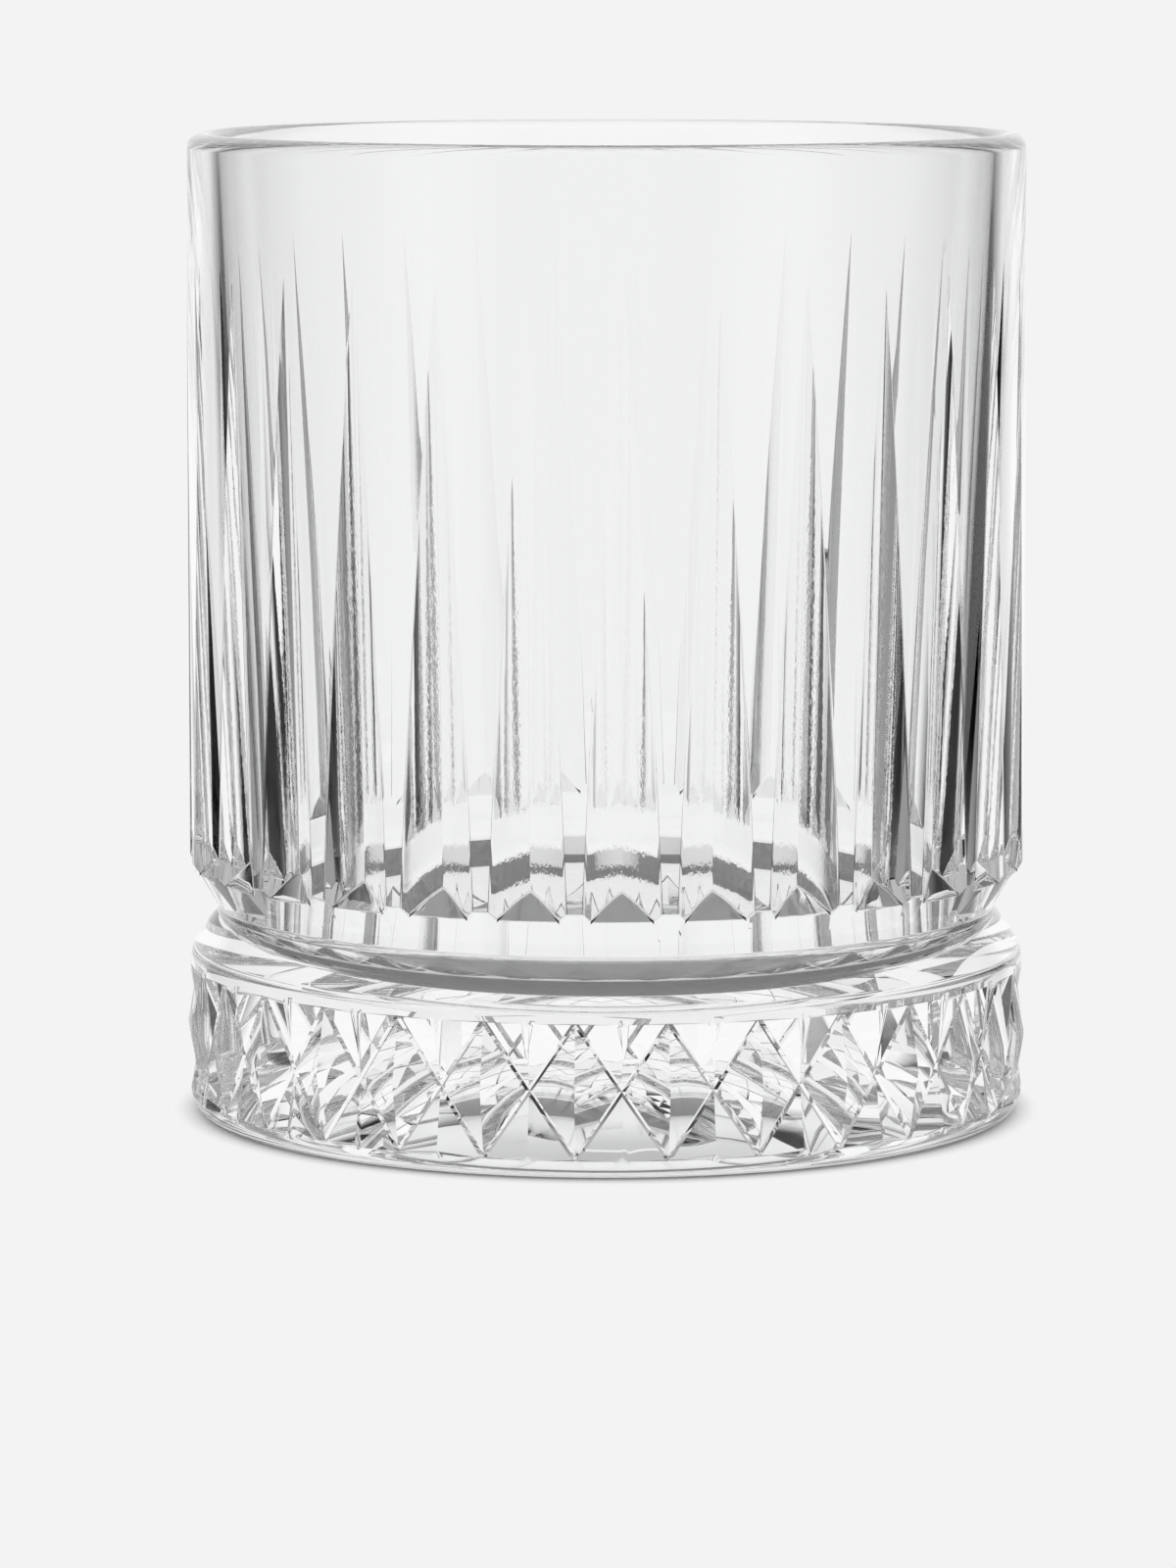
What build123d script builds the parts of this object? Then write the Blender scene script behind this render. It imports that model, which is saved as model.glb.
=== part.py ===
from build123d import *
import os
from math import cos, radians, sin

os.makedirs("parts", exist_ok=True)

# A heavy-based whiskey tumbler, pressed in one piece of clear glass.
# Millimetres, +Z up, origin on the table at the centre of the foot.

# Overall size
height = 98.4
mouth_outer_radius = 41.85
body_radius = 42.1
wall_at_mouth = 3.0

# Bowl
floor_height = 14.5
floor_radius = 35.1
floor_corner_radius = 5.0

# The cut pattern repeats this many times around, and one plain strip stands at this angle from +X
pattern_count = 29
pattern_turn = 5.05
pitch_angle = 360 / pattern_count

# Long tapered flutes of V section, which end below in a conical ramp
flute_top_height = 84.5
flute_end_height = 27.6
flute_depth = 1.8
flute_half_width = 3.65
flute_overcut = 1.2
bar_run_under = 8
bar_run_over = 6
ramp_reach = 6

# Waist between body and foot ring
ramp_foot_radius = 41.65
ramp_foot_height = 24.9
body_low_height = 25.6
waist_radius = 39.3
waist_height = 20.9
waist_land = 0.35
shoulder_height = 16.4
shoulder_round = 2.4

# Foot ring with its diamond cuts
ring_top_height = 15.1
ring_low_height = 1.9
ring_edge_radius = 42.0
ring_crest_radius = 42.5
diamond_peak_radius = 42.45
diamond_node_radius = 41.3
groove_half_width = 0.25
groove_extra_depth = 0.2
facet_cover = 1.25
cutter_height = 2.0
slab_width = 200

# Underside
foot_round = 2.0
standing_width = 6.0
underside_rise = 9.5
underside_middle = 0.55

ring_middle = (ring_top_height + ring_low_height) / 2
contact_radius = ring_edge_radius - foot_round
standing_inner = contact_radius - standing_width
mouth_inner_radius = mouth_outer_radius - wall_at_mouth
lip_base = height - wall_at_mouth / 2


def on_wall(radius, angle, z):
    """Return the point at a radius and an angle in degrees from +X."""
    return Vector(radius * cos(radians(angle)), radius * sin(radians(angle)), z)


# The flute's cutter: a V bar along the valley line, trimmed below by the ramp's cone
valley_top = Vector(mouth_outer_radius, 0, flute_top_height)
valley_low = Vector(body_radius - flute_depth, 0, flute_end_height)
valley_direction = (valley_top - valley_low).normalized()
bar_start = valley_low - valley_direction * bar_run_under
bar_length = (valley_top - bar_start).length + bar_run_over
edge_angle = flute_half_width / body_radius
flank_rise = body_radius * cos(edge_angle) - valley_low.X
flank_slope = flank_rise / flute_half_width
bar_height = flute_depth + flute_overcut
bar_mouth = bar_height / flank_slope
ramp_slope = (flute_end_height - ramp_foot_height) / (ramp_foot_radius - valley_low.X)
ramp_inner = valley_low.X - ramp_reach
ramp_outer = ramp_foot_radius + ramp_reach

with BuildPart() as flute_cutter:
    with BuildSketch(Plane(origin=bar_start, x_dir=(0, -1, 0), z_dir=valley_direction)):
        Polygon((0, 0), (bar_mouth, bar_height), (-bar_mouth, bar_height), align=None)
    extrude(amount=bar_length)
    with BuildSketch(Plane.XZ):
        with BuildLine():
            Polyline(
                (ramp_inner, ramp_foot_height + ramp_slope * (ramp_foot_radius - ramp_inner)),
                (ramp_outer, ramp_foot_height + ramp_slope * (ramp_foot_radius - ramp_outer)),
                (ramp_outer, 0),
                (ramp_inner, 0),
                close=True,
            )
        make_face()
    revolve(axis=Axis.Z, mode=Mode.SUBTRACT)

# The diamond cutter: two crossing bars of shallow V section with a narrow groove along the root.
# Each runs straight from a node at the ring's top to the next node at its foot.
peak = on_wall(diamond_peak_radius, pitch_angle / 2, ring_middle)

with BuildPart() as diamond_cutter:
    for lean in (-1, 1):
        node_high = on_wall(diamond_node_radius, -lean * pitch_angle / 2, ring_top_height)
        node_low = on_wall(diamond_node_radius, lean * pitch_angle / 2, ring_low_height)
        crossing = (node_high + node_low) * 0.5
        bar_direction = (node_low - node_high).normalized()
        outward = Vector(1, 0, 0)
        sideways = outward.cross(bar_direction)
        facet_rise = (peak - crossing).dot(outward)
        facet_width = abs((peak - crossing).dot(sideways))
        facet_slope = facet_rise / facet_width
        bar_half_width = facet_width * facet_cover
        with BuildSketch(Plane(origin=crossing, x_dir=sideways, z_dir=bar_direction)):
            with BuildLine():
                Polyline(
                    (0, -groove_extra_depth),
                    (groove_half_width, groove_half_width * facet_slope),
                    (bar_half_width, bar_half_width * facet_slope),
                    (bar_half_width, cutter_height),
                    (-bar_half_width, cutter_height),
                    (-bar_half_width, bar_half_width * facet_slope),
                    (-groove_half_width, groove_half_width * facet_slope),
                    close=True,
                )
            make_face()
        extrude(amount=(node_low - node_high).length, both=True)
    with Locations((0, 0, ring_middle)):
        Box(slab_width, slab_width, ring_top_height - ring_low_height, mode=Mode.INTERSECT)

with BuildPart() as tumbler:
    with BuildSketch(Plane.XZ):
        with BuildLine():
            Line((0, floor_height), (0, underside_rise))
            ThreePointArc(
                (0, underside_rise),
                (standing_inner * underside_middle, underside_rise * (1 - underside_middle**2)),
                (standing_inner, 0),
            )
            Line((standing_inner, 0), (contact_radius, 0))
            ThreePointArc(
                (contact_radius, 0),
                (contact_radius + foot_round * sin(radians(45)), foot_round * (1 - cos(radians(45)))),
                (ring_edge_radius, ring_low_height),
            )
            ThreePointArc(
                (ring_edge_radius, ring_low_height),
                (ring_crest_radius, ring_middle),
                (ring_edge_radius, ring_top_height),
            )
            Polyline(
                (ring_edge_radius, ring_top_height),
                (ring_edge_radius, shoulder_height),
                (waist_radius, waist_height - waist_land),
                (waist_radius, waist_height + waist_land),
                (body_radius, body_low_height),
                (mouth_outer_radius, lip_base),
            )
            ThreePointArc(
                (mouth_outer_radius, lip_base),
                (mouth_outer_radius - wall_at_mouth / 2, height),
                (mouth_inner_radius, lip_base),
            )
            Polyline((mouth_inner_radius, lip_base), (floor_radius, floor_height), (0, floor_height))
        make_face()
        fillet(vertices().sort_by_distance((ring_edge_radius, shoulder_height))[0], shoulder_round)
        fillet(vertices().sort_by_distance((floor_radius, floor_height))[0], floor_corner_radius)
    revolve(axis=Axis.Z)
    with PolarLocations(0, pattern_count, start_angle=pattern_turn + pitch_angle / 2):
        add(flute_cutter.part, mode=Mode.SUBTRACT)
        add(diamond_cutter.part, mode=Mode.SUBTRACT)

tumbler.part.label = "tumbler"
export_step(tumbler.part, "parts/tumbler.step")
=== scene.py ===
import logging
import math
from collections.abc import Iterable
from dataclasses import dataclass, field
from enum import Enum

import bpy
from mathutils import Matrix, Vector


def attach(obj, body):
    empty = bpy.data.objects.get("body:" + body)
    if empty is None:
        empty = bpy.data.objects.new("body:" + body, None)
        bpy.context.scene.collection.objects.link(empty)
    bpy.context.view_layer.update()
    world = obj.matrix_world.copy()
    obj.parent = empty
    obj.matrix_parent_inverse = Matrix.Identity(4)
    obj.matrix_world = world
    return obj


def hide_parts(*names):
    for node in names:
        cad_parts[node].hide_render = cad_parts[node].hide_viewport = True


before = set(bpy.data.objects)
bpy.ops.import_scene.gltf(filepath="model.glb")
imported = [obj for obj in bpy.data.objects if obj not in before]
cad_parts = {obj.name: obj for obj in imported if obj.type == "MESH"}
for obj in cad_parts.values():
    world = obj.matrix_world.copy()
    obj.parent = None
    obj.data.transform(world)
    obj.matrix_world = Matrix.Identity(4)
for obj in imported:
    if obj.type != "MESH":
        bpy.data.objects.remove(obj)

log = logging.getLogger("tumbler")
logging.basicConfig(level=logging.INFO, format="%(levelname)s %(message)s")

MM = 0.001
MERGE_DISTANCE = 2e-6
SEED_SIZE = 0.01


class NodeName(Enum):
    """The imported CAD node, its body and the record's material slot."""

    BODY = "root"
    NODE = "tumbler"
    SLOT = "glass"


class Lean(Enum):
    """Which way a cut of the diamond lattice leans on its way down."""

    LEFT = -1
    RIGHT = 1


class Blend(Enum):
    """How one solid is combined with another."""

    CUT = "DIFFERENCE"
    JOIN = "UNION"
    KEEP_SHARED = "INTERSECT"


@dataclass(frozen=True)
class Pattern:
    """The repeat of the cut decoration around the glass."""

    count: int = 29
    strip_angle: float = 5.05
    steps_per_pitch: int = 12

    @property
    def pitch(self) -> float:
        """Angle of one repeat, in degrees."""
        return 360 / self.count

    @property
    def steps(self) -> int:
        """Number of steps in a whole turn."""
        return self.count * self.steps_per_pitch

    @property
    def flute_angle(self) -> float:
        """Angle from +X of the first flute's centre, in degrees."""
        return self.strip_angle + self.pitch / 2


@dataclass(frozen=True)
class Outline:
    """Radii and heights of the turned glass, in millimetres."""

    height: float = 98.4
    mouth_outer_radius: float = 41.85
    body_radius: float = 42.1
    wall_at_mouth: float = 3.0
    floor_height: float = 14.5
    floor_radius: float = 35.1
    floor_corner_radius: float = 5.0
    ramp_foot_radius: float = 41.65
    ramp_foot_height: float = 24.9
    body_low_height: float = 25.6
    waist_radius: float = 39.3
    waist_height: float = 20.9
    waist_land: float = 0.35
    shoulder_height: float = 16.4
    shoulder_round: float = 2.4
    ring_top_height: float = 15.1
    ring_low_height: float = 1.9
    ring_edge_radius: float = 42.0
    ring_crest_radius: float = 42.5
    foot_round: float = 2.0
    standing_width: float = 6.0
    underside_rise: float = 9.5
    underside_middle: float = 0.55

    @property
    def contact_radius(self) -> float:
        """Outer radius of the standing ring."""
        return self.ring_edge_radius - self.foot_round

    @property
    def standing_inner(self) -> float:
        """Inner radius of the standing ring."""
        return self.contact_radius - self.standing_width

    @property
    def mouth_inner_radius(self) -> float:
        """Inner radius where the lip's round begins."""
        return self.mouth_outer_radius - self.wall_at_mouth

    @property
    def lip_base(self) -> float:
        """Height where the lip's round begins."""
        return self.height - self.wall_at_mouth / 2


def arc(start: tuple, middle: tuple, end: tuple, steps: int) -> list[tuple]:
    """Points of the circular arc through three points.

    Args:
        start: First point as radius and height.
        middle: A point on the arc between the ends.
        end: Last point.
        steps: Number of equal steps along the arc.

    Returns:
        The points after the start, the end included.
    """
    ax, ay = start
    bx, by = middle
    cx, cy = end
    d = 2 * (ax * (by - cy) + bx * (cy - ay) + cx * (ay - by))
    sa, sb, sc = ax * ax + ay * ay, bx * bx + by * by, cx * cx + cy * cy
    ux = (sa * (by - cy) + sb * (cy - ay) + sc * (ay - by)) / d
    uy = (sa * (cx - bx) + sb * (ax - cx) + sc * (bx - ax)) / d
    r = math.hypot(ax - ux, ay - uy)
    a0 = math.atan2(ay - uy, ax - ux)
    am = math.atan2(by - uy, bx - ux)
    a1 = math.atan2(cy - uy, cx - ux)
    turn = (a1 - a0) % (2 * math.pi)
    if (am - a0) % (2 * math.pi) > turn:
        turn -= 2 * math.pi
    out = []
    for i in range(1, steps + 1):
        a = a0 + turn * i / steps
        out.append((ux + r * math.cos(a), uy + r * math.sin(a)))
    return out


def rounded(before: tuple, corner: tuple, after: tuple, radius: float, steps: int) -> list[tuple]:
    """Points of a corner rounded by an arc that is tangent to both sides.

    Args:
        before: Point before the corner.
        corner: The sharp corner.
        after: Point after the corner.
        radius: Radius of the round.
        steps: Number of steps along the round.

    Returns:
        The round's points, both tangent points included.
    """
    c = Vector(corner)
    u = (Vector(before) - c).normalized()
    v = (Vector(after) - c).normalized()
    half = u.angle(v) / 2
    reach = radius / math.tan(half)
    start, end = c + u * reach, c + v * reach
    middle = c + (u + v).normalized() * (radius / math.sin(half) - radius)
    return [tuple(start)] + arc(tuple(start), tuple(middle), tuple(end), steps)


def straight(start: tuple, end: tuple, steps: int) -> list[tuple]:
    """Points of a straight run after its start.

    Args:
        start: First point.
        end: Last point.
        steps: Number of equal steps.

    Returns:
        The points after the start, the end included.
    """
    return [
        (start[0] + (end[0] - start[0]) * i / steps, start[1] + (end[1] - start[1]) * i / steps)
        for i in range(1, steps + 1)
    ]


def select_only(*objects: bpy.types.Object) -> None:
    """Make these objects the only selected ones, the last of them active."""
    if bpy.context.mode != "OBJECT":
        bpy.ops.object.mode_set(mode="OBJECT")
    bpy.ops.object.select_all(action="DESELECT")
    for o in objects:
        o.select_set(True)
        bpy.context.view_layer.objects.active = o


def traced(name: str, points: Iterable[Vector]) -> bpy.types.Object:
    """Draw an open line of edges by extruding one vertex along the points.

    Args:
        name: Name of the new object.
        points: The line's points in metres.

    Returns:
        The new object with its origin at the world's origin.
    """
    points = [Vector(p) for p in points]
    select_only()
    bpy.ops.mesh.primitive_plane_add(size=SEED_SIZE, location=(0, 0, 0))
    o = bpy.context.active_object
    o.name = o.data.name = name
    bpy.ops.object.mode_set(mode="EDIT")
    bpy.ops.mesh.select_all(action="SELECT")
    bpy.ops.mesh.merge(type="CENTER")
    bpy.ops.transform.translate(value=points[0])
    for a, b in zip(points, points[1:]):
        bpy.ops.mesh.extrude_vertices_move(TRANSFORM_OT_translate={"value": b - a})
    bpy.ops.object.mode_set(mode="OBJECT")
    return o


def spun(o: bpy.types.Object, degrees: float, steps: int) -> None:
    """Spin the whole mesh about Z in edit mode.

    Args:
        o: The object, whose mesh is a line.
        degrees: Angle of the spin.
        steps: Steps in that angle.
    """
    select_only(o)
    bpy.ops.object.mode_set(mode="EDIT")
    bpy.ops.mesh.select_all(action="SELECT")
    bpy.ops.mesh.spin(steps=steps, angle=math.radians(degrees), center=(0, 0, 0), axis=(0, 0, 1))
    bpy.ops.mesh.select_all(action="SELECT")
    bpy.ops.mesh.remove_doubles(threshold=MERGE_DISTANCE)
    bpy.ops.mesh.normals_make_consistent(inside=False)
    bpy.ops.object.mode_set(mode="OBJECT")


def turned(o: bpy.types.Object, degrees: float) -> None:
    """Turn the mesh about Z by an angle, leaving the object's own placement alone."""
    select_only(o)
    bpy.ops.object.mode_set(mode="EDIT")
    bpy.ops.mesh.select_all(action="SELECT")
    bpy.ops.transform.rotate(
        value=-math.radians(degrees), orient_axis="Z", center_override=(0, 0, 0)
    )
    bpy.ops.object.mode_set(mode="OBJECT")


def filled_prism(name: str, corners: list[Vector], sweep: Vector) -> bpy.types.Object:
    """Trace a closed polygon, fill it and extrude it along a vector.

    Args:
        name: Name of the new object.
        corners: The polygon's corners in metres.
        sweep: The extrusion in metres.

    Returns:
        The closed prism.
    """
    o = traced(name, corners)
    bpy.ops.object.mode_set(mode="EDIT")
    bpy.ops.mesh.select_all(action="SELECT")
    bpy.ops.mesh.edge_face_add()
    bpy.ops.mesh.extrude_region_move(TRANSFORM_OT_translate={"value": sweep})
    bpy.ops.mesh.select_all(action="SELECT")
    bpy.ops.mesh.normals_make_consistent(inside=False)
    bpy.ops.object.mode_set(mode="OBJECT")
    return o


def spun_wedge(name: str, loop: list[tuple], degrees: float, steps: int) -> bpy.types.Object:
    """Spin a closed loop of the RZ plane into a solid wedge centred on the XZ plane.

    Args:
        name: Name of the new object.
        loop: Radius and height of the loop's corners in millimetres.
        degrees: The wedge's angle.
        steps: Steps across that angle.

    Returns:
        The closed wedge.
    """
    o = traced(name, [Vector((r * MM, 0, z * MM)) for r, z in loop])
    bpy.ops.object.mode_set(mode="EDIT")
    bpy.ops.mesh.select_all(action="SELECT")
    bpy.ops.mesh.edge_face_add()
    bpy.ops.mesh.delete(type="ONLY_FACE")
    bpy.ops.mesh.select_all(action="SELECT")
    bpy.ops.transform.rotate(
        value=-math.radians(degrees / 2), orient_axis="Z", center_override=(0, 0, 0)
    )
    bpy.ops.mesh.spin(
        steps=steps, angle=math.radians(degrees), center=(0, 0, 0), axis=(0, 0, 1)
    )
    bpy.ops.mesh.select_all(action="SELECT")
    bpy.ops.mesh.remove_doubles(threshold=MERGE_DISTANCE)
    bpy.ops.mesh.fill_holes(sides=0)
    bpy.ops.mesh.select_all(action="SELECT")
    bpy.ops.mesh.normals_make_consistent(inside=False)
    bpy.ops.object.mode_set(mode="OBJECT")
    return o


def combine(o: bpy.types.Object, other: bpy.types.Object, how: Blend) -> None:
    """Combine a solid with another by an applied Boolean and remove the other.

    Args:
        o: The solid that is kept and changed.
        other: The solid that is used up.
        how: Whether the other is cut away or joined on.
    """
    select_only(o)
    m = o.modifiers.new("combine", "BOOLEAN")
    m.operation = how.value
    m.solver = "MANIFOLD"
    m.object = other
    bpy.ops.object.modifier_apply(modifier=m.name)
    bpy.data.objects.remove(other)


def repeated(first: bpy.types.Object, pattern: Pattern) -> bpy.types.Object:
    """Copy a cutter all the way round and join the copies into one solid.

    Args:
        first: The cutter, centred on +X; it is used up.
        pattern: The repeat and its starting angle.

    Returns:
        The joined cutter.
    """
    turned(first, pattern.flute_angle)
    copies = []
    for i in range(1, pattern.count):
        select_only(first)
        bpy.ops.object.duplicate(linked=False)
        copy = bpy.context.active_object
        turned(copy, pattern.pitch * i)
        copies.append(copy)
    for copy in copies:
        combine(first, copy, Blend.JOIN)
    return first


@dataclass
class Section:
    """The turned glass's section: a line from the axis under the foot to the axis in the bowl."""

    outline: Outline = field(default_factory=Outline)
    foot_steps: int = 8
    ring_steps: int = 12
    shoulder_steps: int = 6
    wall_steps: int = 4
    lip_steps: int = 10
    corner_steps: int = 14
    floor_steps: int = 3
    dome_steps: int = 10

    def outside(self) -> list[tuple]:
        """Points from the foot's contact edge up to the lip's crest, in millimetres."""
        k = self.outline
        foot = k.foot_round
        diagonal = math.sqrt(0.5)
        points = [(k.contact_radius, 0.0)]
        points += arc(
            points[-1],
            (k.contact_radius + foot * diagonal, foot * (1 - diagonal)),
            (k.ring_edge_radius, k.ring_low_height),
            self.foot_steps,
        )
        middle = (k.ring_top_height + k.ring_low_height) / 2
        points += arc(
            points[-1],
            (k.ring_crest_radius, middle),
            (k.ring_edge_radius, k.ring_top_height),
            self.ring_steps,
        )
        points += rounded(
            points[-1],
            (k.ring_edge_radius, k.shoulder_height),
            (k.waist_radius, k.waist_height - k.waist_land),
            k.shoulder_round,
            self.shoulder_steps,
        )
        low, high = k.waist_height - k.waist_land, k.waist_height + k.waist_land
        points += [(k.waist_radius, low), (k.waist_radius, high)]
        points += [(k.body_radius, k.body_low_height)]
        points += straight(points[-1], (k.mouth_outer_radius, k.lip_base), self.wall_steps)
        points += self.lip()[0]
        return points

    def lip(self) -> tuple[list[tuple], list[tuple]]:
        """Outer and inner halves of the lip's round."""
        k = self.outline
        half = k.wall_at_mouth / 2
        centre = k.mouth_outer_radius - half
        diagonal = math.sqrt(0.5) * half
        outer, inner = (k.mouth_outer_radius, k.lip_base), (k.mouth_inner_radius, k.lip_base)
        crest = (centre, k.height)
        first = arc(outer, (centre + diagonal, k.lip_base + diagonal), crest, self.lip_steps)
        second = arc(crest, (centre - diagonal, k.lip_base + diagonal), inner, self.lip_steps)
        return first, second

    def inside(self) -> list[tuple]:
        """Points from the lip's crest down the bowl to the centre of its floor."""
        k = self.outline
        points = [self.lip()[0][-1]] + self.lip()[1]
        points += rounded(
            points[-1],
            (k.floor_radius, k.floor_height),
            (0, k.floor_height),
            k.floor_corner_radius,
            self.corner_steps,
        )
        points += straight(points[-1], (0, k.floor_height), self.floor_steps)
        return points

    def underside(self) -> list[tuple]:
        """Points from the centre of the underside out to the contact edge."""
        k = self.outline
        share = k.underside_middle
        points = [(0.0, k.underside_rise)]
        points += arc(
            points[-1],
            (k.standing_inner * share, k.underside_rise * (1 - share**2)),
            (k.standing_inner, 0),
            self.dome_steps,
        )
        points += [(k.contact_radius, 0.0)]
        return points


@dataclass
class Flutes:
    """The long tapered cuts of the wall and the conical ramps they end on, in millimetres."""

    outline: Outline = field(default_factory=Outline)
    pattern: Pattern = field(default_factory=Pattern)
    top_height: float = 84.5
    end_height: float = 27.6
    depth: float = 1.8
    half_width: float = 3.65
    hollow: float = 0.03
    flank_steps: int = 6
    overcut: float = 1.35
    run_under: float = 8.0
    run_over: float = 7.0
    ramp_reach: float = 6.0

    def profile(self) -> list[tuple]:
        """Work out the cutter's V section, whose flanks are slightly hollow.

        Returns:
            Corners as offsets across and outwards, the valley at the origin.
        """
        reach = self.half_width
        drop = self.outline.body_radius * (1 - math.cos(reach / self.outline.body_radius))
        slope = (self.depth - drop) / reach - self.hollow * reach
        step = reach * self.overcut / self.flank_steps
        steps = [step * i for i in range(1, self.flank_steps + 1)]
        right = [(y, slope * y + self.hollow * y * y) for y in steps]
        return [(-y, x) for y, x in reversed(right)] + [(0.0, 0.0)] + right

    def build(self) -> bpy.types.Object:
        """Model one cutter with its valley line in the XZ plane.

        Returns:
            The closed cutter.
        """
        k = self.outline
        low = k.body_radius - self.depth
        bottom = Vector((low, 0, self.end_height))
        along = Vector((k.mouth_outer_radius, 0, self.top_height)) - bottom
        start = bottom - along.normalized() * self.run_under
        sweep = along + along.normalized() * (self.run_under + self.run_over)
        corners = [(start + Vector((x, y, 0))) * MM for y, x in self.profile()]
        bar = filled_prism("flute_cutter", corners, sweep * MM)
        ramp = (self.end_height - k.ramp_foot_height) / (k.ramp_foot_radius - low)
        inner, outer = low - self.ramp_reach, k.ramp_foot_radius + self.ramp_reach
        loop = [
            (inner, k.ramp_foot_height + ramp * (k.ramp_foot_radius - inner)),
            (outer, k.ramp_foot_height + ramp * (k.ramp_foot_radius - outer)),
            (outer, 0.0),
            (inner, 0.0),
        ]
        steps = self.pattern.steps_per_pitch * 2
        trim = spun_wedge("ramp_trim", loop, self.pattern.pitch * 2, steps)
        combine(bar, trim, Blend.CUT)
        return bar


@dataclass
class Diamonds:
    """The lattice of shallow V cuts around the foot ring, in millimetres."""

    outline: Outline = field(default_factory=Outline)
    pattern: Pattern = field(default_factory=Pattern)
    peak_radius: float = 42.45
    node_radius: float = 41.3
    groove_half_width: float = 0.25
    groove_extra_depth: float = 0.2
    cutter_height: float = 2.0
    height_step: float = 0.1
    cover: float = 1.25
    band_radius: float = 60.0

    def point(self, radius: float, degrees: float, z: float) -> Vector:
        """Point at a radius, an angle from +X and a height."""
        a = math.radians(degrees)
        return Vector((radius * math.cos(a), radius * math.sin(a), z))

    def bar(self, lean: Lean) -> bpy.types.Object:
        """Model one bar of the lattice centred on +X.

        The two bars of a pair differ a little in height, so that no faces of theirs coincide.

        Args:
            lean: Which way the bar runs down.

        Returns:
            The closed bar, which runs on past both nodes.
        """
        k, half = self.outline, self.pattern.pitch / 2
        middle = (k.ring_top_height + k.ring_low_height) / 2
        peak = self.point(self.peak_radius, half, middle)
        high = self.point(self.node_radius, -lean.value * half, k.ring_top_height)
        low = self.point(self.node_radius, lean.value * half, k.ring_low_height)
        crossing = (high + low) / 2
        along = (low - high).normalized()
        outward = Vector((1, 0, 0))
        across = outward.cross(along)
        reach = abs((peak - crossing).dot(across))
        slope = (peak - crossing).dot(outward) / reach
        wide, groove = reach * self.cover, self.groove_half_width
        top = self.cutter_height + self.height_step * lean.value
        profile = [
            (0, -self.groove_extra_depth),
            (groove, groove * slope),
            (wide, wide * slope),
            (wide, top),
            (-wide, top),
            (-wide, wide * slope),
            (-groove, groove * slope),
        ]
        length = (high - low).length
        corners = [crossing - along * length + across * x + outward * y for x, y in profile]
        return filled_prism("diamond_cutter", [c * MM for c in corners], along * length * 2 * MM)

    def build(self) -> bpy.types.Object:
        """Model the whole lattice of crossing bars, kept to the ring's height.

        Returns:
            The closed cutter for the whole ring.
        """
        k = self.outline
        pair = self.bar(Lean.LEFT)
        combine(pair, self.bar(Lean.RIGHT), Blend.JOIN)
        lattice = repeated(pair, self.pattern)
        select_only()
        bpy.ops.mesh.primitive_cylinder_add(
            vertices=self.pattern.count,
            radius=self.band_radius * MM,
            depth=(k.ring_top_height - k.ring_low_height) * MM,
            location=(0, 0, (k.ring_top_height + k.ring_low_height) / 2 * MM),
        )
        combine(lattice, bpy.context.active_object, Blend.KEEP_SHARED)
        return lattice


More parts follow.
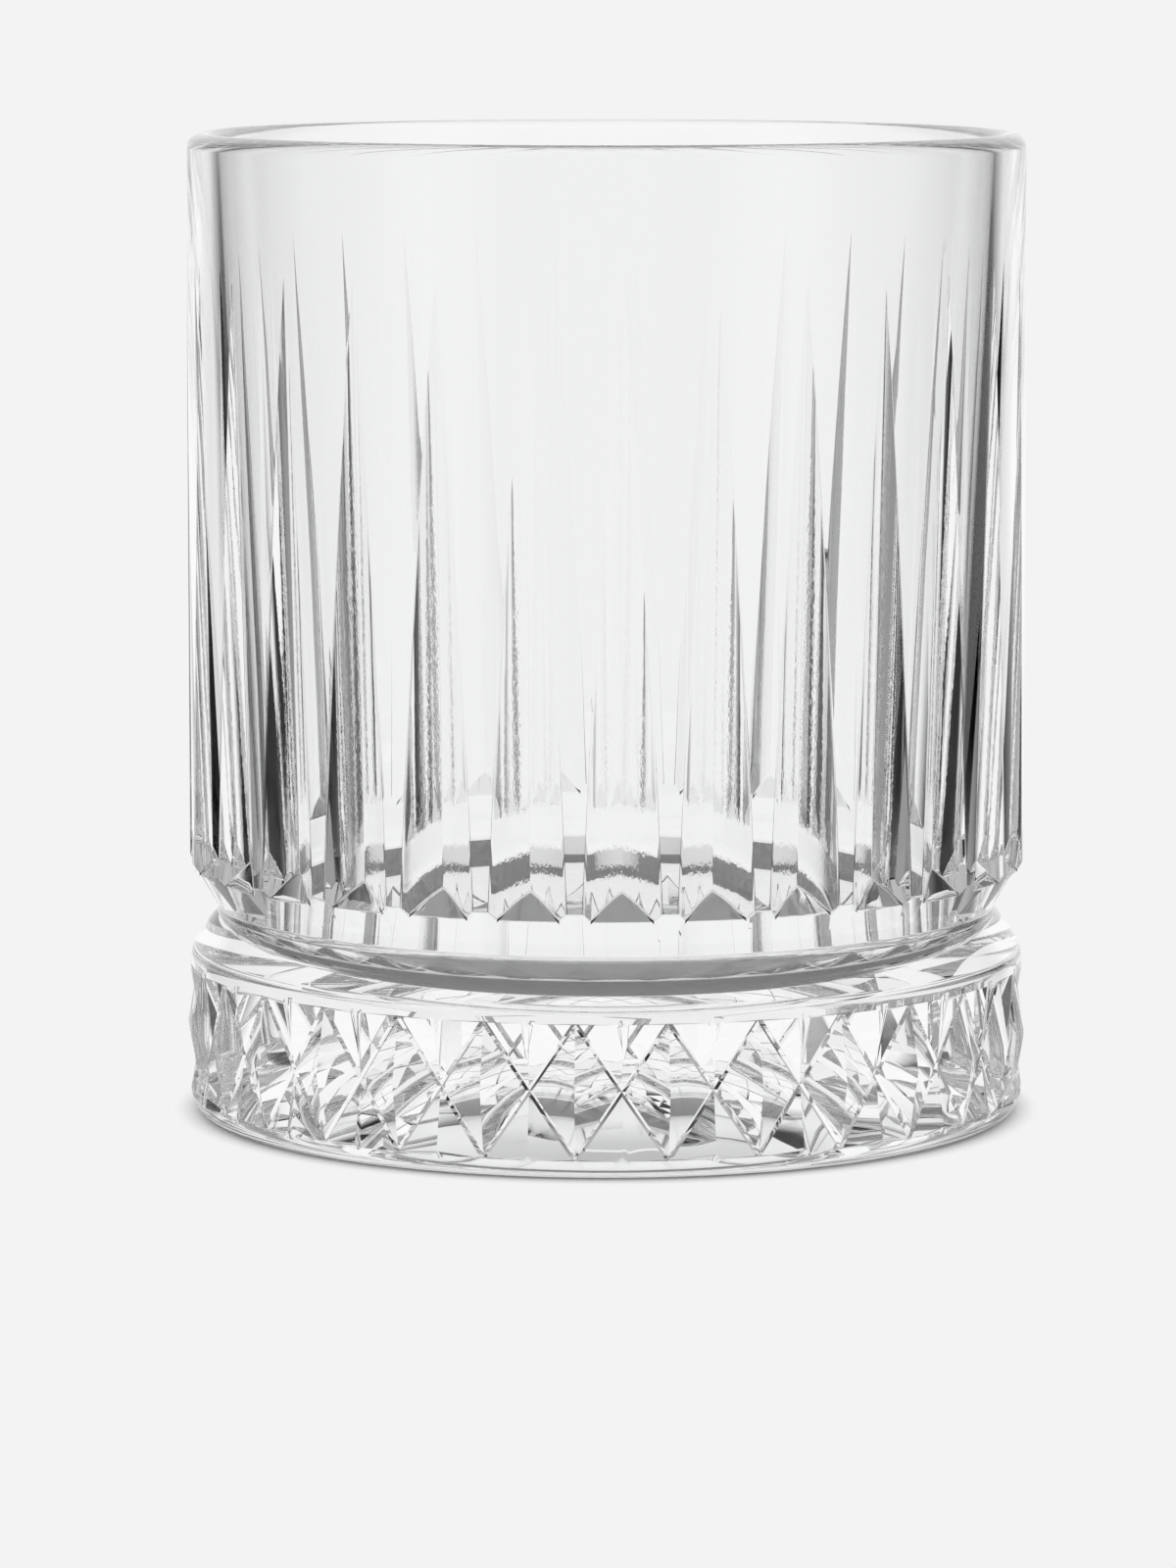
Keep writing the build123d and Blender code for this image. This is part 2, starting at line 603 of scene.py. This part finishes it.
@dataclass(frozen=True)
class GlassFinish:
    """Clear pressed glass with the faint unevenness that its mould leaves."""

    name: str = "clear_glass"
    tint: tuple = (0.994, 0.997, 0.997, 1.0)
    ior: float = 1.52
    roughness: float = 0.0
    ripple_scale: float = 70.0
    ripple_stretch: float = 0.3
    ripple_depth: float = 0.00002
    grain_scale: float = 5000.0
    grain_stretch: float = 0.4
    grain_depth: float = 0.000006
    detail: float = 2.0
    cut_radii: tuple = (0.0392, 0.0396, 0.0414, 0.0418)
    cut_heights: tuple = (0.0275, 0.0285, 0.060, 0.080)

    def noise(
        self,
        tree: bpy.types.NodeTree,
        position: bpy.types.NodeSocket,
        scale: float,
        stretch: float,
        depth: float,
    ) -> bpy.types.NodeSocket:
        """Add a noise that is drawn out along the glass's height.

        Args:
            tree: Tree that the nodes go into.
            position: Socket with the place on the glass.
            scale: Scale of the noise across the glass.
            stretch: How much smaller the scale is along the height.
            depth: Height of the noise in metres.

        Returns:
            Socket with the noise's height.
        """
        n, link = tree.nodes, tree.links.new
        place = n.new("ShaderNodeVectorMath")
        noise = n.new("ShaderNodeTexNoise")
        deep = n.new("ShaderNodeMath")
        place.operation, deep.operation = "MULTIPLY", "MULTIPLY"
        place.inputs[1].default_value = (1.0, 1.0, stretch)
        noise.inputs["Scale"].default_value = scale
        noise.inputs["Detail"].default_value = self.detail
        deep.inputs[1].default_value = depth
        link(position, place.inputs[0])
        link(place.outputs[0], noise.inputs["Vector"])
        link(noise.outputs["Fac"], deep.inputs[0])
        return deep.outputs[0]

    def band(
        self, tree: bpy.types.NodeTree, value: bpy.types.NodeSocket, limits: tuple
    ) -> bpy.types.NodeSocket:
        """Add a mask that rises between the first two limits and falls between the last two.

        Args:
            tree: Tree that the nodes go into.
            value: Socket with the measured value.
            limits: The four limits in rising order.

        Returns:
            Socket with the mask from 0 to 1.
        """
        n, link = tree.nodes, tree.links.new
        rise, fall = n.new("ShaderNodeMapRange"), n.new("ShaderNodeMapRange")
        both = n.new("ShaderNodeMath")
        rise.inputs["From Min"].default_value, rise.inputs["From Max"].default_value = limits[:2]
        fall.inputs["From Min"].default_value, fall.inputs["From Max"].default_value = limits[2:]
        fall.inputs["To Min"].default_value, fall.inputs["To Max"].default_value = 1.0, 0.0
        both.operation = "MULTIPLY"
        link(value, rise.inputs["Value"])
        link(value, fall.inputs["Value"])
        link(rise.outputs["Result"], both.inputs[0])
        link(fall.outputs["Result"], both.inputs[1])
        return both.outputs[0]

    def surface_group(self) -> bpy.types.NodeTree:
        """Build the group that turns a position into the height of the glass's surface.

        Returns:
            The group: a wide faint ripple everywhere and a fine grain in the flutes.
        """
        tree = bpy.data.node_groups.new("moulded_surface", "ShaderNodeTree")
        tree.interface.new_socket("Position", in_out="INPUT", socket_type="NodeSocketVector")
        tree.interface.new_socket("Height", in_out="OUTPUT", socket_type="NodeSocketFloat")
        n, link = tree.nodes, tree.links.new
        enter, leave = n.new("NodeGroupInput"), n.new("NodeGroupOutput")
        split, flat, reach = (
            n.new("ShaderNodeSeparateXYZ"),
            n.new("ShaderNodeCombineXYZ"),
            n.new("ShaderNodeVectorMath"),
        )
        reach.operation = "LENGTH"
        position = enter.outputs["Position"]
        link(position, split.inputs[0])
        link(split.outputs["X"], flat.inputs["X"])
        link(split.outputs["Y"], flat.inputs["Y"])
        link(flat.outputs[0], reach.inputs[0])
        ripple = self.noise(
            tree, position, self.ripple_scale, self.ripple_stretch, self.ripple_depth
        )
        grain = self.noise(tree, position, self.grain_scale, self.grain_stretch, self.grain_depth)
        radial = self.band(tree, reach.outputs["Value"], self.cut_radii)
        upright = self.band(tree, split.outputs["Z"], self.cut_heights)
        mask, masked, total = (n.new("ShaderNodeMath") for _ in range(3))
        mask.operation, masked.operation, total.operation = "MULTIPLY", "MULTIPLY", "ADD"
        link(radial, mask.inputs[0])
        link(upright, mask.inputs[1])
        link(mask.outputs[0], masked.inputs[0])
        link(grain, masked.inputs[1])
        link(masked.outputs[0], total.inputs[0])
        link(ripple, total.inputs[1])
        link(total.outputs[0], leave.inputs["Height"])
        return tree

    def material(self) -> bpy.types.Material:
        """Build the material.

        Returns:
            The finished glass material.
        """
        m = bpy.data.materials.new(self.name)
        m.use_nodes = True
        n, link = m.node_tree.nodes, m.node_tree.links.new
        shader = next(x for x in n if x.type == "BSDF_PRINCIPLED")
        shader.inputs["Base Color"].default_value = self.tint
        shader.inputs["Metallic"].default_value = 0.0
        shader.inputs["Roughness"].default_value = self.roughness
        shader.inputs["IOR"].default_value = self.ior
        shader.inputs["Transmission Weight"].default_value = 1.0
        place, surface = n.new("ShaderNodeTexCoord"), n.new("ShaderNodeGroup")
        surface.node_tree = self.surface_group()
        bump = n.new("ShaderNodeBump")
        bump.inputs["Strength"].default_value = 1.0
        bump.inputs["Distance"].default_value = 1.0
        link(place.outputs["Object"], surface.inputs["Position"])
        link(surface.outputs["Height"], bump.inputs["Height"])
        link(bump.outputs["Normal"], shader.inputs["Normal"])
        return m


@dataclass(frozen=True)
class FloorFinish:
    """Pale table whose far part is left out of what the glass refracts."""

    name: str = "pale_table"
    colour: tuple = (0.86, 0.86, 0.86, 1.0)
    backdrop: float = 0.896
    near: float = 0.08
    far: float = 0.14
    fade_start: float = 0.0405
    fade_end: float = 0.044

    def material(self) -> bpy.types.Material:
        """Build the material.

        Returns:
            The finished table material.
        """
        m = bpy.data.materials.new(self.name)
        m.use_nodes = True
        n, link = m.node_tree.nodes, m.node_tree.links.new
        n.clear()
        out = n.new("ShaderNodeOutputMaterial")
        matt = n.new("ShaderNodeBsdfDiffuse")
        matt.inputs["Color"].default_value = self.colour
        glow = n.new("ShaderNodeEmission")
        glow.inputs["Color"].default_value = (1, 1, 1, 1)
        glow.inputs["Strength"].default_value = self.backdrop
        clear = n.new("ShaderNodeBsdfTransparent")
        place = n.new("ShaderNodeTexCoord")
        reach = n.new("ShaderNodeVectorMath")
        reach.operation = "LENGTH"
        path = n.new("ShaderNodeLightPath")
        fade = self.ramp(n, self.fade_start, self.fade_end)
        edge = self.ramp(n, self.near, self.far)
        unseen = n.new("ShaderNodeMath")
        unseen.operation = "SUBTRACT"
        unseen.inputs[0].default_value = 1.0
        gone = n.new("ShaderNodeMath")
        gone.operation = "MULTIPLY"
        blend, shown = n.new("ShaderNodeMixShader"), n.new("ShaderNodeMixShader")
        link(place.outputs["Object"], reach.inputs[0])
        link(reach.outputs["Value"], fade.inputs["Value"])
        link(reach.outputs["Value"], edge.inputs["Value"])
        link(path.outputs["Is Camera Ray"], unseen.inputs[1])
        link(unseen.outputs[0], gone.inputs[0])
        link(edge.outputs["Result"], gone.inputs[1])
        link(fade.outputs["Result"], blend.inputs["Fac"])
        link(matt.outputs[0], blend.inputs[1])
        link(glow.outputs[0], blend.inputs[2])
        link(gone.outputs[0], shown.inputs["Fac"])
        link(blend.outputs[0], shown.inputs[1])
        link(clear.outputs[0], shown.inputs[2])
        link(shown.outputs[0], out.inputs["Surface"])
        return m

    def ramp(self, nodes: bpy.types.Nodes, start: float, end: float) -> bpy.types.Node:
        """Add a smooth step of distance from 0 at the start to 1 at the end."""
        node = nodes.new("ShaderNodeMapRange")
        node.interpolation_type = "SMOOTHSTEP"
        node.inputs["From Min"].default_value = start
        node.inputs["From Max"].default_value = end
        return node


@dataclass
class Glassware:
    """The whole tumbler: the turned glass with its flutes and diamonds cut in."""

    pattern: Pattern = field(default_factory=Pattern)
    section: Section = field(default_factory=Section)
    flutes: Flutes = field(default_factory=Flutes)
    diamonds: Diamonds = field(default_factory=Diamonds)
    finish: GlassFinish = field(default_factory=GlassFinish)
    smooth_angle: float = 8.0
    sharp_angle: float = 25.0
    edge_round: float = 0.15
    edge_steps: int = 2
    round_from: float = 19.0
    flat_weight: int = 100

    def build(self) -> bpy.types.Object:
        """Model the tumbler as one closed mesh.

        Returns:
            The finished object at the world's origin.
        """
        section = self.section
        points = section.underside()[:-1] + section.outside() + section.inside()[1:]
        glass = traced("tumbler_glass", [Vector((r * MM, 0, z * MM)) for r, z in points])
        turned(glass, self.pattern.strip_angle)
        spun(glass, 360, self.pattern.steps)
        combine(glass, repeated(self.flutes.build(), self.pattern), Blend.CUT)
        combine(glass, self.diamonds.build(), Blend.CUT)
        select_only(glass)
        bpy.ops.object.mode_set(mode="EDIT")
        bpy.ops.mesh.select_all(action="SELECT")
        bpy.ops.mesh.remove_doubles(threshold=MERGE_DISTANCE)
        bpy.ops.mesh.delete_loose()
        bpy.ops.mesh.select_all(action="SELECT")
        bpy.ops.mesh.normals_make_consistent(inside=False)
        bpy.ops.object.mode_set(mode="OBJECT")
        self.soften(glass)
        return glass

    def weigh_edges(self, glass: bpy.types.Object) -> None:
        """Mark the sharp edges above the foot ring, less and less towards the flutes' tips."""
        low, high = self.flutes.end_height * MM, self.flutes.top_height * MM
        select_only(glass)
        bpy.ops.object.mode_set(mode="EDIT")
        bpy.ops.mesh.select_mode(type="EDGE")
        bpy.ops.mesh.select_all(action="DESELECT")
        bpy.ops.mesh.edges_select_sharp(sharpness=math.radians(self.smooth_angle))
        bpy.ops.object.mode_set(mode="OBJECT")
        weights = glass.data.attributes.new("bevel_weight_edge", "FLOAT", "EDGE")
        vertices = glass.data.vertices
        for edge in glass.data.edges:
            if edge.select:
                z = sum(vertices[i].co.z for i in edge.vertices) / 2
                share = (high - z) / (high - low) if z > self.round_from * MM else 0.0
                weights.data[edge.index].value = min(1.0, max(0.0, share))

    def soften(self, glass: bpy.types.Object) -> None:
        """Round the sharp edges a little, as the mould leaves them, and keep the flats flat."""
        self.weigh_edges(glass)
        bevel = glass.modifiers.new("soften", "BEVEL")
        bevel.width = self.edge_round * MM
        bevel.segments = self.edge_steps
        bevel.limit_method = "WEIGHT"
        bevel.use_clamp_overlap = False
        bpy.ops.object.modifier_apply(modifier=bevel.name)
        bpy.ops.object.shade_smooth_by_angle(angle=math.radians(self.sharp_angle))
        weights = glass.modifiers.new("weights", "WEIGHTED_NORMAL")
        weights.keep_sharp = True
        weights.weight = self.flat_weight
        bpy.ops.object.modifier_apply(modifier=weights.name)

    def dress(self, glass: bpy.types.Object) -> None:
        """Give the tumbler its glass."""
        glass.data.materials.clear()
        glass.data.materials.append(self.finish.material())


@dataclass
class Studio:
    """Table, soft surrounding light and camera."""

    table_size: float = 12.0
    floor: FloorFinish = field(default_factory=FloorFinish)
    backdrop: float = 0.896
    table_light: float = 1.042
    overhead: float = 0.5
    fields: tuple = (
        (0, 0.97),
        (180, 0.35),
        (32, 0.97),
        (41, 0.0),
        (60, 0.0),
        (70, 0.3),
        (105, 0.3),
        (118, 0.5),
        (135, 0.5),
        (150, 0.35),
    )
    top_low: float = 0.55
    top_high: float = 0.85
    camera_place: tuple = (-0.001845, -0.6651, 0.1195)
    camera_pitch: float = 7.43
    lens: float = 152.44

    def table(self) -> None:
        """Lay the pale table under the glass."""
        select_only()
        bpy.ops.mesh.primitive_plane_add(size=self.table_size, location=(0, 0, 0))
        top = bpy.context.active_object
        top.name = "table"
        top.data.materials.append(self.floor.material())

    def light(self) -> None:
        """Surround the glass with bright fields before and behind it and dark ones at its sides."""
        world = bpy.data.worlds.new("studio")
        bpy.context.scene.world = world
        world.use_nodes = True
        n, link = world.node_tree.nodes, world.node_tree.links.new
        n.clear()
        out, light = n.new("ShaderNodeOutputWorld"), n.new("ShaderNodeBackground")
        place, split = n.new("ShaderNodeTexCoord"), n.new("ShaderNodeSeparateXYZ")
        heading, turn = n.new("ShaderNodeMath"), n.new("ShaderNodeMath")
        heading.operation, turn.operation = "ARCTAN2", "ABSOLUTE"
        share = n.new("ShaderNodeMath")
        share.operation = "DIVIDE"
        share.inputs[1].default_value = math.pi
        side = n.new("ShaderNodeValToRGB")
        stops = side.color_ramp.elements
        for i, (degrees, level) in enumerate(self.fields):
            stop = stops[i] if i < 2 else stops.new(degrees / 180)
            stop.position, stop.color = degrees / 180, (level, level, level, 1.0)
        above = self.floor.ramp(n, self.top_low, self.top_high)
        level, seen = n.new("ShaderNodeMix"), n.new("ShaderNodeMix")
        level.inputs["B"].default_value = self.overhead
        seen.inputs["B"].default_value = self.backdrop
        light.inputs["Color"].default_value = (1, 1, 1, 1)
        path, lit = n.new("ShaderNodeLightPath"), n.new("ShaderNodeMix")
        lit.inputs["B"].default_value = self.table_light
        link(place.outputs["Generated"], split.inputs[0])
        link(split.outputs["X"], heading.inputs[0])
        link(split.outputs["Y"], heading.inputs[1])
        link(heading.outputs[0], turn.inputs[0])
        link(turn.outputs[0], share.inputs[0])
        link(share.outputs[0], side.inputs["Fac"])
        link(split.outputs["Z"], above.inputs["Value"])
        link(above.outputs["Result"], level.inputs["Factor"])
        link(side.outputs["Color"], level.inputs["A"])
        link(path.outputs["Is Camera Ray"], seen.inputs["Factor"])
        link(path.outputs["Is Diffuse Ray"], lit.inputs["Factor"])
        link(level.outputs["Result"], lit.inputs["A"])
        link(lit.outputs["Result"], seen.inputs["A"])
        link(seen.outputs["Result"], light.inputs["Strength"])
        link(light.outputs[0], out.inputs["Surface"])

    def camera(self) -> None:
        """Set the camera at the viewing angle."""
        data = bpy.data.cameras.new("camera")
        data.lens = self.lens
        data.sensor_width = 36.0
        data.clip_start, data.clip_end = 0.01, 100.0
        o = bpy.data.objects.new("camera", data)
        o.location = self.camera_place
        o.rotation_euler = (math.radians(90 - self.camera_pitch), 0, 0)
        bpy.context.scene.collection.objects.link(o)
        bpy.context.scene.camera = o

    def settings(self) -> None:
        """Let light pass through enough glass surfaces and show plain tones."""
        scene = bpy.context.scene
        scene.view_settings.view_transform = "Standard"
        scene.cycles.max_bounces = 40
        scene.cycles.transmission_bounces = 40
        scene.cycles.glossy_bounces = 24
        scene.cycles.diffuse_bounces = 4
        scene.cycles.transparent_max_bounces = 16
        scene.cycles.caustics_refractive = True
        scene.cycles.caustics_reflective = True

    def build(self) -> None:
        """Set up the whole studio."""
        self.table()
        self.light()
        self.camera()
        self.settings()


def main() -> None:
    """Build the tumbler, dress it, stage it and log what was made."""
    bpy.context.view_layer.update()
    ware = Glassware()
    glass = ware.build()
    ware.dress(glass)
    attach(glass, NodeName.BODY.value)
    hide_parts(NodeName.NODE.value)
    log.info("%s: %d faces", glass.name, len(glass.data.polygons))
    Studio().build()
    log.info("studio: table, surrounding light and camera")


if __name__ == "__main__":
    main()
